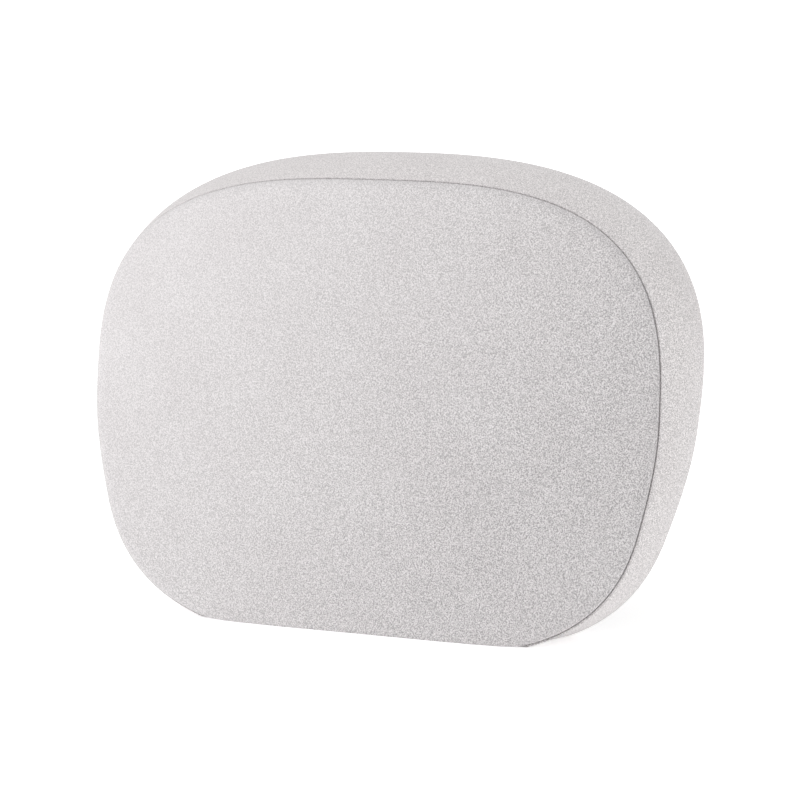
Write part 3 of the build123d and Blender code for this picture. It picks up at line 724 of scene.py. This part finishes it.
    links.new(turned.outputs["Vector"], speckle.inputs["Vector"])
    links.new(turned.outputs["Vector"], mottle.inputs["Vector"])
    links.new(turned.outputs["Vector"], fibres.inputs["Vector"])
    links.new(turned.outputs["Vector"], tufts.inputs["Vector"])
    links.new(speckle.outputs["Fac"], speckle_ramp.inputs["Fac"])
    links.new(mottle.outputs["Fac"], mottle_ramp.inputs["Fac"])
    links.new(place_node.outputs["Object"], turned.inputs["Vector"])
    links.new(place_node.outputs["Object"], brushed.inputs[0])
    links.new(brushed.outputs["Value"], fleck.inputs["Value"])
    links.new(brushed.outputs["Value"], tone.inputs["Value"])
    links.new(fleck.outputs["Result"], flecked.inputs[0])
    links.new(speckle_ramp.outputs["Color"], flecked.inputs[7])
    links.new(flecked.outputs[2], painted_shade_applied.inputs[0])
    links.new(tone.outputs["Result"], painted_shade_applied.inputs["Scale"])
    links.new(painted_shade_applied.outputs["Vector"], shade.inputs[6])
    links.new(mottle_ramp.outputs["Color"], shade.inputs[7])
    links.new(tufts.outputs["Distance"], relief.inputs[2])
    links.new(fibres.outputs["Fac"], relief.inputs[3])
    links.new(relief.outputs[0], bump.inputs["Height"])
    links.new(shade.outputs[2], shader.inputs["Base Color"])
    links.new(bump.outputs["Normal"], shader.inputs["Normal"])
    links.new(shader.outputs["BSDF"], output.inputs["Surface"])

    lay_out(
        (place_node,), (turned,), (speckle, mottle, brushed, fibres, tufts),
        (speckle_ramp, mottle_ramp, fleck, tone, relief), (flecked, painted_shade_applied), (shade, bump),
        (shader,), (output,),
    )
    return material


def moulded_material(name, colour, roughness, grain_scale, grain_height, coat=0):
    """Moulded plastic or foam skin: fine spark-eroded grain, faint tone drift."""
    material, nodes, links, tone_frame, grain_frame = empty_material(name, "Tone", "Grain")

    place_node = nodes.new("ShaderNodeTexCoord")
    place_node.label = "Place on the moulding"
    drift = nodes.new("ShaderNodeTexNoise")
    drift.label = "Slow drift of tone from the flow in the mould"
    drift.inputs["Scale"].default_value = 18
    drift.inputs["Detail"].default_value = 2
    drift.parent = tone_frame
    tone = nodes.new("ShaderNodeValToRGB")
    tone.label = "Tone range"
    set_ramp(tone, (0.3, scaled(colour, 0.96)), (0.7, scaled(colour, 1.03)))
    tone.parent = tone_frame
    grain = nodes.new("ShaderNodeTexVoronoi")
    grain.label = "Mould grain"
    grain.feature = "SMOOTH_F1"
    grain.inputs["Scale"].default_value = grain_scale
    grain.inputs["Smoothness"].default_value = 0.8
    grain.parent = grain_frame
    bump = nodes.new("ShaderNodeBump")
    bump.label = "Height of the grain"
    bump.inputs["Strength"].default_value = 0.4
    bump.inputs["Distance"].default_value = grain_height
    bump.parent = grain_frame
    rough = nodes.new("ShaderNodeMapRange")
    rough.label = "Duller in the grain's hollows"
    rough.inputs["To Min"].default_value = roughness - 0.06
    rough.inputs["To Max"].default_value = roughness + 0.08
    rough.parent = grain_frame

    shader = nodes.new("ShaderNodeBsdfPrincipled")
    shader.label = "Moulding"
    shader.inputs["Specular IOR Level"].default_value = 0.4
    shader.inputs["Coat Weight"].default_value = coat
    shader.inputs["Coat Roughness"].default_value = 0.35
    output = nodes.new("ShaderNodeOutputMaterial")
    output.label = "Surface"

    links.new(place_node.outputs["Object"], drift.inputs["Vector"])
    links.new(place_node.outputs["Object"], grain.inputs["Vector"])
    links.new(drift.outputs["Fac"], tone.inputs["Fac"])
    links.new(grain.outputs["Distance"], bump.inputs["Height"])
    links.new(grain.outputs["Distance"], rough.inputs["Value"])
    links.new(tone.outputs["Color"], shader.inputs["Base Color"])
    links.new(rough.outputs["Result"], shader.inputs["Roughness"])
    links.new(bump.outputs["Normal"], shader.inputs["Normal"])
    links.new(shader.outputs["BSDF"], output.inputs["Surface"])

    lay_out((place_node,), (drift, grain), (tone, rough, bump), (shader,), (output,))
    return material


def metal_material(
    name, colour, metallic, roughness, scratch_scale, relief_height, stretch=(1, 1, 1),
):
    """Metal with directional brushing or an even skin, patchy gloss and faint tone changes."""
    material, nodes, links, tone_frame, finish_frame = empty_material(
        name, "Tone", "Brushing and gloss",
    )

    place_node = nodes.new("ShaderNodeTexCoord")
    place_node.label = "Place on the metal"
    lay = nodes.new("ShaderNodeMapping")
    lay.label = "Lay of the brushing"
    lay.inputs["Scale"].default_value = stretch
    lay.parent = finish_frame
    lines = nodes.new("ShaderNodeTexNoise")
    lines.label = "Brush lines or skin"
    lines.inputs["Scale"].default_value = scratch_scale
    lines.inputs["Detail"].default_value = 4
    lines.parent = finish_frame
    patches = nodes.new("ShaderNodeTexNoise")
    patches.label = "Handling patches"
    patches.inputs["Scale"].default_value = 45
    patches.inputs["Detail"].default_value = 3
    patches.parent = tone_frame
    tone = nodes.new("ShaderNodeValToRGB")
    tone.label = "Tone range"
    set_ramp(tone, (0.3, scaled(colour, 0.86)), (0.7, scaled(colour, 1.1)))
    tone.parent = tone_frame
    rough = nodes.new("ShaderNodeMapRange")
    rough.label = "Gloss along the lines"
    rough.inputs["To Min"].default_value = roughness - 0.08
    rough.inputs["To Max"].default_value = roughness + 0.1
    rough.parent = finish_frame
    bump = nodes.new("ShaderNodeBump")
    bump.label = "Depth of the lines"
    bump.inputs["Strength"].default_value = 0.3
    bump.inputs["Distance"].default_value = relief_height
    bump.parent = finish_frame

    shader = nodes.new("ShaderNodeBsdfPrincipled")
    shader.label = "Metal"
    shader.inputs["Metallic"].default_value = metallic
    output = nodes.new("ShaderNodeOutputMaterial")
    output.label = "Surface"

    links.new(place_node.outputs["Object"], lay.inputs["Vector"])
    links.new(lay.outputs["Vector"], lines.inputs["Vector"])
    links.new(place_node.outputs["Object"], patches.inputs["Vector"])
    links.new(patches.outputs["Fac"], tone.inputs["Fac"])
    links.new(lines.outputs["Fac"], rough.inputs["Value"])
    links.new(lines.outputs["Fac"], bump.inputs["Height"])
    links.new(tone.outputs["Color"], shader.inputs["Base Color"])
    links.new(rough.outputs["Result"], shader.inputs["Roughness"])
    links.new(bump.outputs["Normal"], shader.inputs["Normal"])
    links.new(shader.outputs["BSDF"], output.inputs["Surface"])

    lay_out((place_node,), (lay, patches), (lines, tone), (rough, bump), (shader,), (output,))
    return material


def board_material(name, colour):
    """Birch plywood: long grain on the faces and thin plies through the thickness."""
    material, nodes, links, grain_frame = empty_material(name, "Wood grain")

    place_node = nodes.new("ShaderNodeTexCoord")
    place_node.label = "Place on the board"
    lay = nodes.new("ShaderNodeMapping")
    lay.label = "Grain runs across the board"
    lay.inputs["Scale"].default_value = (9, 140, 90)
    lay.parent = grain_frame
    grain = nodes.new("ShaderNodeTexNoise")
    grain.label = "Grain"
    grain.inputs["Scale"].default_value = 1
    grain.inputs["Detail"].default_value = 5
    grain.inputs["Distortion"].default_value = 0.4
    grain.parent = grain_frame
    tone = nodes.new("ShaderNodeValToRGB")
    tone.label = "Early and late wood"
    set_ramp(tone, (0.35, scaled(colour, 0.72)), (0.65, scaled(colour, 1.15)))
    tone.parent = grain_frame
    bump = nodes.new("ShaderNodeBump")
    bump.label = "Open pores"
    bump.inputs["Strength"].default_value = 0.3
    bump.inputs["Distance"].default_value = 0.0002
    bump.parent = grain_frame
    shader = nodes.new("ShaderNodeBsdfPrincipled")
    shader.label = "Plywood"
    shader.inputs["Roughness"].default_value = 0.7
    output = nodes.new("ShaderNodeOutputMaterial")
    output.label = "Surface"

    links.new(place_node.outputs["Object"], lay.inputs["Vector"])
    links.new(lay.outputs["Vector"], grain.inputs["Vector"])
    links.new(grain.outputs["Fac"], tone.inputs["Fac"])
    links.new(grain.outputs["Fac"], bump.inputs["Height"])
    links.new(tone.outputs["Color"], shader.inputs["Base Color"])
    links.new(bump.outputs["Normal"], shader.inputs["Normal"])
    links.new(shader.outputs["BSDF"], output.inputs["Surface"])

    lay_out((place_node,), (lay,), (grain,), (tone,), (bump,), (shader,), (output,))
    return material


def finish_with(piece, material):
    """Give a piece one material in every slot."""
    if piece.data.materials:
        for slot_index in range(len(piece.data.materials)):
            piece.data.materials[slot_index] = material
    else:
        piece.data.materials.append(material)


# ---- Operators ----


class HEADREST_OT_cover(bpy.types.Operator):
    """Make the front panel and the side band of the cover and settle them over the foam"""

    bl_idname = "headrest.cover"
    bl_label = "Cover"

    def execute(self, context):
        pad = context.scene.headrest_pad
        cloth = context.scene.headrest_cloth
        panel = seam_lip(pad, 1, pad.around) + panel_rings(pad, panel_insets(pad), pad.around)
        band = seam_lip(pad, -1, pad.around) + band_rings(pad, band_shares(), pad.around)
        pole = [panel_pole(pad)[None, :]]
        before, moves = settle(pad, cloth)
        panel = carry_over(panel, before, moves, cloth.neighbours)
        band = carry_over(band, before, moves, cloth.neighbours)
        pole = carry_over(pole, before, moves, cloth.neighbours)
        band += hem_rings(pad, pad.around)
        colours = context.scene.headrest_colours
        # Both cloths are painted darker towards the lower right (shade_low), as painted shade of the key light
        # from the upper left.
        finishes = {
            "front_panel": cloth_material(
                "panel_cloth", colours.cloth, roughness=0.95,
                shade_low=0.76, fleck_high=0.42, fleck_low=1,
            ),
            "side_panel": cloth_material(
                "band_cloth", colours.band_cloth, roughness=0.95,
                shade_low=0.88, fleck_high=0.5, fleck_low=1,
            ),
        }
        front = mesh_piece("front_panel", panel, pole[0][0])
        side = mesh_piece("side_panel", band)
        for piece in (front, side):
            face_outwards(piece, inside_point(pad))
            thicken(piece, pad.cloth_thickness)
            finish_with(piece, finishes[piece.name])
            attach(piece, "pad")
        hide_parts("front_cover")
        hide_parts("side_band")
        return {"FINISHED"}


class HEADREST_OT_foam(bpy.types.Operator):
    """Make the moulded foam under the cover"""

    bl_idname = "headrest.foam"
    bl_label = "Foam"

    def execute(self, context):
        pad = context.scene.headrest_pad
        block = context.scene.headrest_foam
        insets = np.linspace(4 * MM, 110 * MM, 16)
        rings = band_rings(pad, np.linspace(0.97, 0.12, 10), block.around)
        rings += panel_rings(pad, insets, block.around)
        centre = inside_point(pad)
        shrunk = [centre + (ring - centre) * block.share for ring in rings]
        pole = centre + (panel_pole(pad) - centre) * block.crown_share
        foam = mesh_piece("foam_block", shrunk, pole, shrunk[0].mean(axis=0))
        face_outwards(foam, centre)
        select_only(foam)
        bpy.ops.object.shade_smooth_by_angle(angle=radians(40))
        finish_with(foam, moulded_material(
            "moulded_foam", context.scene.headrest_colours.foam,
            roughness=0.85, grain_scale=900, grain_height=0.4 * MM,
        ))
        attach(foam, "pad")
        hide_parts("foam_core")
        return {"FINISHED"}


class HEADREST_OT_stitches(bpy.types.Operator):
    """Make the thread that crosses the seam, one stitch copied along it"""

    bl_idname = "headrest.stitches"
    bl_label = "Seam stitches"

    def execute(self, context):
        pad = context.scene.headrest_pad
        stitch = context.scene.headrest_stitches
        _, _, forward = pad_axes(pad)
        length = seam_outline(pad, pad.around)[4]
        count = int(length / stitch.pitch)
        x, u, out_x, out_u, _ = seam_outline(pad, count)
        pull = stitch.inset * sin(pi / 4)
        places = place(pad, x - out_x * pull, u - out_u * pull, front_depth(pad, x, u) - pull)
        bpy.ops.object.select_all(action="DESELECT")
        bpy.ops.mesh.primitive_uv_sphere_add(segments=8, ring_count=6, radius=stitch.radius)
        model = context.object
        bpy.ops.transform.resize(value=(1, 1, stitch.length / stitch.radius / 2))
        bpy.ops.object.transform_apply(location=False, rotation=False, scale=True)
        turn = Vector(forward).to_track_quat("Z", "Y").to_matrix()
        stitches = []
        for point in places:
            copy = model.copy()
            copy.data = model.data.copy()
            copy.data.transform(turn.to_4x4())
            copy.data.transform(Matrix.Translation(point))
            context.scene.collection.objects.link(copy)
            stitches.append(copy)
        bpy.data.objects.remove(model)
        bpy.ops.object.select_all(action="DESELECT")
        for copy in stitches:
            copy.select_set(True)
        context.view_layer.objects.active = stitches[0]
        bpy.ops.object.join()
        thread = context.object
        thread.name = "seam_thread"
        bpy.ops.object.shade_smooth()
        # Partly painted shade: the stitches are real thread, and their dark colour stands in for the shade at the
        # bottom of the seam's valley.
        finish_with(thread, cloth_material(
            "sewing_thread_with_painted_shade", context.scene.headrest_colours.thread,
            roughness=0.8, shade_low=1, fleck_high=0.3, fleck_low=0.3,
        ))
        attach(thread, "pad")
        return {"FINISHED"}


class HEADREST_OT_spring(bpy.types.Operator):
    """Wind the latch spring"""

    bl_idname = "headrest.spring"
    bl_label = "Latch spring"

    def execute(self, context):
        settings = context.scene.headrest_spring
        low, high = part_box("latch_spring")
        middle = (low + high) / 2
        coil = (high.y - low.y) / 2 - settings.wire
        length = high.x - low.x
        bpy.ops.object.select_all(action="DESELECT")
        bpy.ops.mesh.primitive_circle_add(
            vertices=12, radius=settings.wire,
            location=(low.x + settings.wire, middle.y, middle.z),
        )
        spring = context.object
        spring.name = "coil_spring"
        bpy.ops.object.mode_set(mode="EDIT")
        bpy.ops.transform.translate(value=(0, coil, 0))
        bpy.ops.object.mode_set(mode="OBJECT")
        winding = spring.modifiers.new("Winding", "SCREW")
        winding.axis = "X"
        winding.angle = 2 * pi * settings.turns
        winding.screw_offset = length - 2 * settings.wire
        winding.steps = 32 * settings.turns
        winding.render_steps = 32 * settings.turns
        bpy.ops.object.modifier_apply(modifier=winding.name)
        bpy.ops.object.mode_set(mode="EDIT")
        bpy.ops.mesh.select_all(action="SELECT")
        bpy.ops.mesh.fill_holes(sides=0)
        bpy.ops.mesh.normals_make_consistent(inside=False)
        bpy.ops.object.mode_set(mode="OBJECT")
        bpy.ops.object.transform_apply(location=True, rotation=True, scale=True)
        bpy.ops.object.shade_smooth_by_angle(angle=radians(50))
        finish_with(spring, metal_material(
            "spring_steel", context.scene.headrest_colours.steel,
            metallic=1, roughness=0.3, scratch_scale=400, relief_height=0.02 * MM,
        ))
        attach(spring, "receiver")
        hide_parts("latch_spring")
        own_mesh(spring)
        return {"FINISHED"}


class HEADREST_OT_finishes(bpy.types.Operator):
    """Give every hardware piece its finish"""

    bl_idname = "headrest.finishes"
    bl_label = "Hardware finishes"

    def execute(self, context):
        colours = context.scene.headrest_colours
        finishes = {
            "foam": moulded_material(
                "foam_skin", colours.foam,
                roughness=0.85, grain_scale=900, grain_height=0.3 * MM,
            ),
            "cover_fabric": cloth_material(
                "lining_cloth", colours.cloth,
                roughness=0.95, shade_low=1, fleck_high=0.5, fleck_low=0.5,
            ),
            "board": board_material("birch_plywood", colours.board),
            "shell_plastic": moulded_material(
                "shell_plastic", colours.shell,
                roughness=0.55, grain_scale=1500, grain_height=0.12 * MM,
            ),
            "trim_plastic": moulded_material(
                "trim_plastic", colours.trim,
                roughness=0.5, grain_scale=1900, grain_height=0.1 * MM, coat=0.05,
            ),
            "bearing_plastic": moulded_material(
                "bearing_plastic", colours.bearing,
                roughness=0.4, grain_scale=2500, grain_height=0.03 * MM,
            ),
            "friction_facing": moulded_material(
                "friction_facing", colours.facing,
                roughness=0.8, grain_scale=1200, grain_height=0.3 * MM,
            ),
            "cast_alloy": metal_material(
                "powder_coated_alloy", colours.alloy,
                metallic=0.15, roughness=0.45, scratch_scale=1100, relief_height=0.12 * MM,
            ),
            "stem_steel": metal_material(
                "brushed_steel", colours.steel,
                metallic=1, roughness=0.32, scratch_scale=60, relief_height=0.03 * MM,
                stretch=(30, 30, 1),
            ),
            "zinc_steel": metal_material(
                "zinc_plate", colours.zinc,
                metallic=1, roughness=0.28, scratch_scale=500, relief_height=0.03 * MM,
            ),
        }
        slots = {part["node"]: part["material_slot"] for part in frame["record"]["subparts"]}
        for node, piece in frame["nodes"].items():
            finish_with(piece, finishes[slots[node]])
        return {"FINISHED"}


KEY_FROM = Vector((-0.75, -0.9, 1.15))
SIDE_FROM = Vector((1, 0.12, 0.25))


def add_sun(name, direction, strength, softness):
    """Soft light from far away in the given direction."""
    bpy.ops.object.light_add(type="SUN", location=direction * 2)
    light = bpy.context.object
    light.name = name
    light.rotation_mode = "QUATERNION"
    light.rotation_quaternion = direction.to_track_quat("Z", "Y")
    light.data.energy = strength
    light.data.angle = softness


class HEADREST_OT_stage(bpy.types.Operator):
    """Set the floor, the soft light and the camera"""

    bl_idname = "headrest.stage"
    bl_label = "Stage"

    def execute(self, context):
        scene = context.scene
        stage = scene.headrest_stage
        pad = scene.headrest_pad
        bpy.ops.object.select_all(action="DESELECT")
        bpy.ops.mesh.primitive_plane_add(
            size=stage.floor_size, location=(0, 0, REST_LEVEL - 0.1 * MM),
        )
        floor = context.object
        floor.name = "studio_floor"
        floor_material = bpy.data.materials.new("studio_floor")
        floor_material.use_nodes = True
        shader = floor_material.node_tree.nodes["Principled BSDF"]
        shader.inputs["Base Color"].default_value = (*scene.headrest_colours.floor, 1)
        shader.inputs["Roughness"].default_value = 0.9
        shader.inputs["Specular IOR Level"].default_value = 0
        shader.inputs["Emission Color"].default_value = (1, 1, 1, 1)
        shader.inputs["Emission Strength"].default_value = stage.floor_glow
        floor_nodes = floor_material.node_tree.nodes
        floor_links = floor_material.node_tree.links
        face_side = floor_nodes.new("ShaderNodeNewGeometry")
        face_side.label = "Which side of the floor"
        face_side.location = (-200, 500)
        clear = floor_nodes.new("ShaderNodeBsdfTransparent")
        clear.label = "Clear from below"
        clear.location = (0, -500)
        one_sided = floor_nodes.new("ShaderNodeMixShader")
        one_sided.label = "One-sided floor"
        one_sided.location = (320, 300)
        surface = floor_nodes["Material Output"]
        surface.location = (560, 300)
        floor_links.new(face_side.outputs["Backfacing"], one_sided.inputs[0])
        floor_links.new(shader.outputs["BSDF"], one_sided.inputs[1])
        floor_links.new(clear.outputs["BSDF"], one_sided.inputs[2])
        floor_links.new(one_sided.outputs["Shader"], surface.inputs["Surface"])
        floor.data.materials.append(floor_material)

        world = bpy.data.worlds.new("studio")
        world.use_nodes = True
        sky_nodes = world.node_tree.nodes
        background = sky_nodes["Background"]
        background.label = "Studio walls and ceiling"
        background.inputs["Color"].default_value = (1, 1, 1, 1)
        direction = sky_nodes.new("ShaderNodeTexCoord")
        direction.label = "Direction"
        direction.location = (-800, 0)
        height = sky_nodes.new("ShaderNodeSeparateXYZ")
        height.label = "Height above the horizon"
        height.location = (-600, 0)
        dimmed = sky_nodes.new("ShaderNodeMapRange")
        dimmed.label = "White walls to dimmer ceiling"
        dimmed.location = (-400, 0)
        dimmed.inputs["From Min"].default_value = stage.wall_height
        dimmed.inputs["From Max"].default_value = stage.ceiling_height
        dimmed.inputs["To Min"].default_value = 1
        dimmed.inputs["To Max"].default_value = stage.ambient
        sky_links = world.node_tree.links
        sky_links.new(direction.outputs["Generated"], height.inputs["Vector"])
        sky_links.new(height.outputs["Z"], dimmed.inputs["Value"])
        sky_links.new(dimmed.outputs["Result"], background.inputs["Strength"])
        scene.world = world
        scene.view_settings.view_transform = "Standard"

        add_sun("key_light", KEY_FROM, stage.key_strength, stage.key_softness)
        add_sun("side_light", SIDE_FROM, stage.side_strength, stage.key_softness)

        origin, up, _ = pad_axes(pad)
        aim = Vector(origin + up * stage.aim_rise)
        back = Vector((
            sin(stage.azimuth) * cos(stage.elevation),
            -cos(stage.azimuth) * cos(stage.elevation),
            sin(stage.elevation),
        ))
        aim += Vector((cos(stage.azimuth), sin(stage.azimuth), 0)) * stage.aim_side
        bpy.ops.object.camera_add(location=aim + back * stage.distance)
        camera = context.object
        camera.name = "studio_camera"
        camera.rotation_mode = "QUATERNION"
        camera.rotation_quaternion = back.to_track_quat("Z", "Y")
        camera.data.lens = stage.lens
        scene.camera = camera
        return {"FINISHED"}


class HEADREST_PT_panel(bpy.types.Panel):
    """Sidebar panel that lists the headrest's operators"""

    bl_idname = "HEADREST_PT_panel"
    bl_label = "Headrest"
    bl_space_type = "VIEW_3D"
    bl_region_type = "UI"
    bl_category = "Headrest"

    def draw(self, context):
        layout = self.layout
        for operator in OPERATORS:
            layout.operator(operator.bl_idname)


SETTINGS = {
    "headrest_pad": PadShape,
    "headrest_cloth": ClothSettings,
    "headrest_foam": FoamSettings,
    "headrest_stitches": StitchSettings,
    "headrest_spring": SpringSettings,
    "headrest_colours": FinishColours,
    "headrest_stage": StageSettings,
}
OPERATORS = (
    HEADREST_OT_finishes,
    HEADREST_OT_cover,
    HEADREST_OT_foam,
    HEADREST_OT_stitches,
    HEADREST_OT_spring,
    HEADREST_OT_stage,
)
CLASSES = (*SETTINGS.values(), *OPERATORS, HEADREST_PT_panel)


def register():
    """Register the classes and hang the settings on the scene."""
    for cls in CLASSES:
        bpy.utils.register_class(cls)
    for name, cls in SETTINGS.items():
        setattr(bpy.types.Scene, name, bpy.props.PointerProperty(type=cls))


def unregister():
    """Take the settings and classes away again."""
    for name in SETTINGS:
        delattr(bpy.types.Scene, name)
    for cls in reversed(CLASSES):
        bpy.utils.unregister_class(cls)


def main():
    """Build the headrest and its stage."""
    register()
    for operator in OPERATORS:
        family, action = operator.bl_idname.split(".")
        getattr(getattr(bpy.ops, family), action)()


if __name__ == "__main__":
    main()
